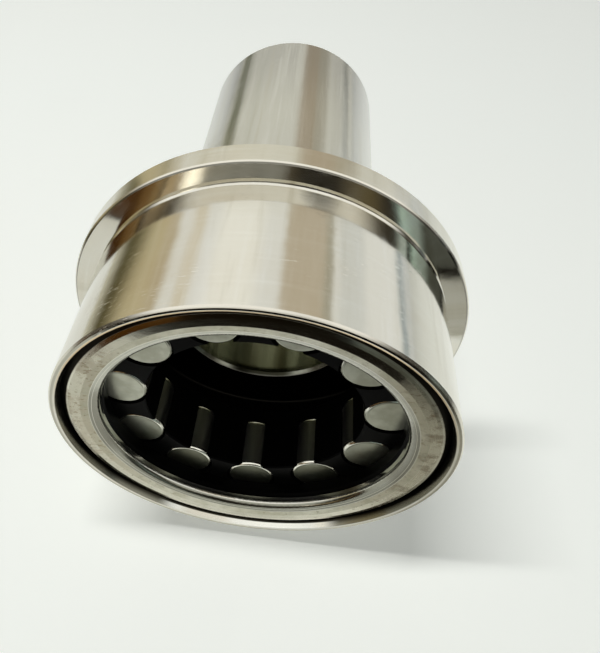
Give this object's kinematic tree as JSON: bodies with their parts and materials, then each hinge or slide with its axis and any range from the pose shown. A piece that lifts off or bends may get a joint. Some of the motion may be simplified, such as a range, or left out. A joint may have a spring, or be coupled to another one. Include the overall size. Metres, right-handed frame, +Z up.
{
  "type": "roller bearing in a flanged sleeve",
  "caption": "Caged roller bearing without an inner ring, pressed into the mouth of a flanged steel sleeve with a plain tube behind, ready to carry a journal.",
  "frame": {"origin": "on the common axis, at the middle of the roller row", "axes": "+Y along the axis from the open mouth to the plain end of the tube, +Z up with the part lying on its side"},
  "size_m": [0.0724, 0.101, 0.0724],
  "materials": {
    "sleeve_steel": "ground and polished steel, fine turning marks round the axis, light handling scratches",
    "ring_steel": "hardened bearing steel, satin ground face with brown contact stains, polished lip",
    "roller_steel": "hardened and ground, satin ends",
    "cage_plastic": "black glass-filled nylon, satin"
  },
  "bodies": {
    "housing": {"sleeve": "sleeve_steel", "outer_ring": "ring_steel"},
    "cage": {"cage": "cage_plastic"},
    "roller_01": {"roller_01": "roller_steel"},
    "roller_02": {"roller_02": "roller_steel"},
    "roller_03": {"roller_03": "roller_steel"},
    "roller_04": {"roller_04": "roller_steel"},
    "roller_05": {"roller_05": "roller_steel"},
    "roller_06": {"roller_06": "roller_steel"},
    "roller_07": {"roller_07": "roller_steel"},
    "roller_08": {"roller_08": "roller_steel"},
    "roller_09": {"roller_09": "roller_steel"},
    "roller_10": {"roller_10": "roller_steel"},
    "roller_11": {"roller_11": "roller_steel"}
  },
  "joints": [
    {"name": "cage_spin", "type": "hinge", "parent": "housing", "child": "cage", "pos_m": [0, 0, 0], "axis": [0, 1, 0], "continuous": true},
    {"name": "roller_01_spin", "type": "hinge", "parent": "cage", "child": "roller_01", "pos_m": [-0.00633, 0, 0.02155], "axis": [0, 1, 0], "continuous": true},
    {"name": "roller_02_spin", "type": "hinge", "parent": "cage", "child": "roller_02", "pos_m": [-0.01697, 0, 0.01471], "axis": [0, 1, 0], "continuous": true},
    {"name": "roller_03_spin", "type": "hinge", "parent": "cage", "child": "roller_03", "pos_m": [-0.02223, 0, 0.0032], "axis": [0, 1, 0], "continuous": true},
    {"name": "roller_04_spin", "type": "hinge", "parent": "cage", "child": "roller_04", "pos_m": [-0.02043, 0, -0.00933], "axis": [0, 1, 0], "continuous": true},
    {"name": "roller_05_spin", "type": "hinge", "parent": "cage", "child": "roller_05", "pos_m": [-0.01214, 0, -0.01889], "axis": [0, 1, 0], "continuous": true},
    {"name": "roller_06_spin", "type": "hinge", "parent": "cage", "child": "roller_06", "pos_m": [0, 0, -0.02246], "axis": [0, 1, 0], "continuous": true},
    {"name": "roller_07_spin", "type": "hinge", "parent": "cage", "child": "roller_07", "pos_m": [0.01214, 0, -0.01889], "axis": [0, 1, 0], "continuous": true},
    {"name": "roller_08_spin", "type": "hinge", "parent": "cage", "child": "roller_08", "pos_m": [0.02043, 0, -0.00933], "axis": [0, 1, 0], "continuous": true},
    {"name": "roller_09_spin", "type": "hinge", "parent": "cage", "child": "roller_09", "pos_m": [0.02223, 0, 0.0032], "axis": [0, 1, 0], "continuous": true},
    {"name": "roller_10_spin", "type": "hinge", "parent": "cage", "child": "roller_10", "pos_m": [0.01697, 0, 0.01471], "axis": [0, 1, 0], "continuous": true},
    {"name": "roller_11_spin", "type": "hinge", "parent": "cage", "child": "roller_11", "pos_m": [0.00633, 0, 0.02155], "axis": [0, 1, 0], "continuous": true}
  ],
  "couplings": [
    {"joint": "roller_01_spin", "follows": "cage_spin", "ratio": -6},
    {"joint": "roller_02_spin", "follows": "cage_spin", "ratio": -6},
    {"joint": "roller_03_spin", "follows": "cage_spin", "ratio": -6},
    {"joint": "roller_04_spin", "follows": "cage_spin", "ratio": -6},
    {"joint": "roller_05_spin", "follows": "cage_spin", "ratio": -6},
    {"joint": "roller_06_spin", "follows": "cage_spin", "ratio": -6},
    {"joint": "roller_07_spin", "follows": "cage_spin", "ratio": -6},
    {"joint": "roller_08_spin", "follows": "cage_spin", "ratio": -6},
    {"joint": "roller_09_spin", "follows": "cage_spin", "ratio": -6},
    {"joint": "roller_10_spin", "follows": "cage_spin", "ratio": -6},
    {"joint": "roller_11_spin", "follows": "cage_spin", "ratio": -6}
  ]
}
